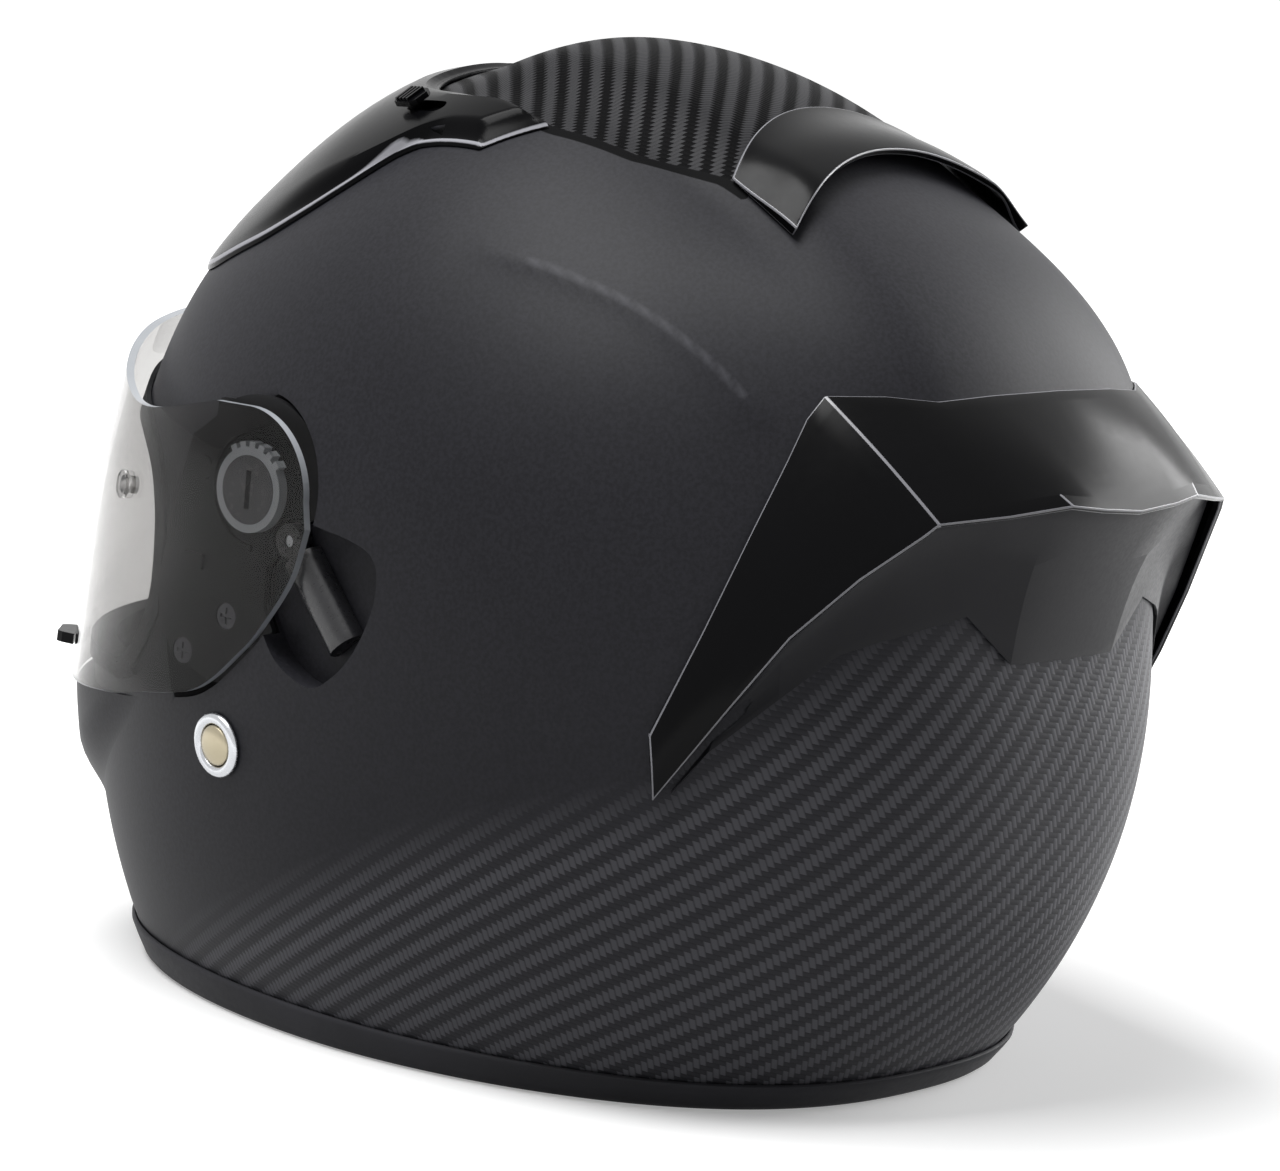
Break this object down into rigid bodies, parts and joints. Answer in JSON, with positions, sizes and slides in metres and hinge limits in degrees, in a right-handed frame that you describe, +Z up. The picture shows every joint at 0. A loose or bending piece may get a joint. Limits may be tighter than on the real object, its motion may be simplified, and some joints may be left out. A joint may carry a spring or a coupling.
{
  "type": "full face motorcycle helmet",
  "caption": "Full face motorcycle helmet with a clear lift-up visor, sliding vents, a rear spoiler, a padded lining and a chin strap.",
  "frame": {"origin": "middle of the footprint on the table, under the bottom trim", "axes": "-Y the way the wearer looks, +X the wearer's left, +Z up"},
  "size_m": [0.254, 0.3311, 0.2686],
  "materials": {
    "shell_matte": "matte charcoal with fine grain and areas of printed carbon twill",
    "rubber_black": "satin black rubber",
    "visor_clear": "clear polycarbonate with a light grey tint",
    "plastic_gloss": "glossy black",
    "plastic_satin": "satin black",
    "steel": "brushed",
    "rivet_champagne": "satin champagne",
    "foam": "fine beaded foam",
    "lining_cloth": "dark grey knitted lining",
    "webbing": "woven black webbing"
  },
  "bodies": {
    "helmet": {"outer_shell": "shell_matte", "eyeport_gasket": "rubber_black", "bottom_trim": "rubber_black", "pivot_hub_left": "plastic_satin", "pivot_hub_right": "plastic_satin", "base_plate_left": "plastic_satin", "base_plate_right": "plastic_satin", "plate_screw_left_upper": "steel", "plate_screw_left_lower": "steel", "plate_screw_right_upper": "steel", "plate_screw_right_lower": "steel", "lever_pin_left": "steel", "lever_pin_right": "steel", "front_vent_cover": "plastic_gloss", "rear_exhaust_cover": "plastic_gloss", "spoiler_wing": "plastic_gloss", "spoiler_diffuser": "plastic_satin", "chin_vent_frame": "plastic_gloss", "rivet_ring_left": "steel", "rivet_ring_right": "steel", "rivet_left": "rivet_champagne", "rivet_right": "rivet_champagne", "anchor_plate_left": "steel", "anchor_plate_right": "steel", "impact_liner": "foam", "chin_liner": "foam", "crown_pad": "lining_cloth", "cheek_pad_left": "lining_cloth", "cheek_pad_right": "lining_cloth", "neck_roll": "lining_cloth", "breath_guard": "rubber_black", "chin_curtain": "lining_cloth", "strap_left": "webbing", "strap_right": "webbing", "buckle_body": "steel", "buckle_pin": "steel", "ratchet_strip": "plastic_gloss"},
    "visor": {"visor_shield": "visor_clear", "visor_tab": "plastic_gloss", "visor_ring_left": "plastic_gloss", "visor_ring_right": "plastic_gloss", "visor_pin_left": "plastic_gloss", "visor_pin_right": "plastic_gloss"},
    "lever_left": {"release_lever_left": "plastic_gloss"},
    "lever_right": {"release_lever_right": "plastic_gloss"},
    "slider_left": {"vent_slider_left": "plastic_gloss"},
    "slider_right": {"vent_slider_right": "plastic_gloss"},
    "chin_shutter": {"chin_vent_shutter": "plastic_gloss"},
    "buckle_catch": {"buckle_lever": "plastic_gloss"}
  },
  "joints": [
    {"name": "visor_hinge", "type": "hinge", "parent": "helmet", "child": "visor", "pos_m": [0, -0.0282, 0.1466], "axis": [-1, 0, 0], "range_deg": [0, 55]},
    {"name": "release_left", "type": "hinge", "parent": "helmet", "child": "lever_left", "pos_m": [0.118, -0.0147, 0.1351], "axis": [1, 0, 0], "range_deg": [0, 22], "stiffness_Nm_per_rad": 0.05, "springref_deg": -11.46},
    {"name": "release_right", "type": "hinge", "parent": "helmet", "child": "lever_right", "pos_m": [-0.118, -0.0147, 0.1351], "axis": [1, 0, 0], "range_deg": [0, 22], "stiffness_Nm_per_rad": 0.05, "springref_deg": -11.46},
    {"name": "vent_slide_left", "type": "slide", "parent": "helmet", "child": "slider_left", "axis": [0.2396, 0.9685, 0.0676], "range_m": [0, 0.01]},
    {"name": "vent_slide_right", "type": "slide", "parent": "helmet", "child": "slider_right", "axis": [-0.2396, 0.9685, 0.0676], "range_m": [0, 0.01]},
    {"name": "chin_vent_slide", "type": "slide", "parent": "helmet", "child": "chin_shutter", "axis": [0, -0.1698, 0.9855], "range_m": [0, 0.006]},
    {"name": "buckle_hinge", "type": "hinge", "parent": "helmet", "child": "buckle_catch", "pos_m": [0.0516, -0.03525, 0.012], "axis": [0, -1, 0], "range_deg": [0, 30], "stiffness_Nm_per_rad": 0.03, "springref_deg": -11.46}
  ]
}
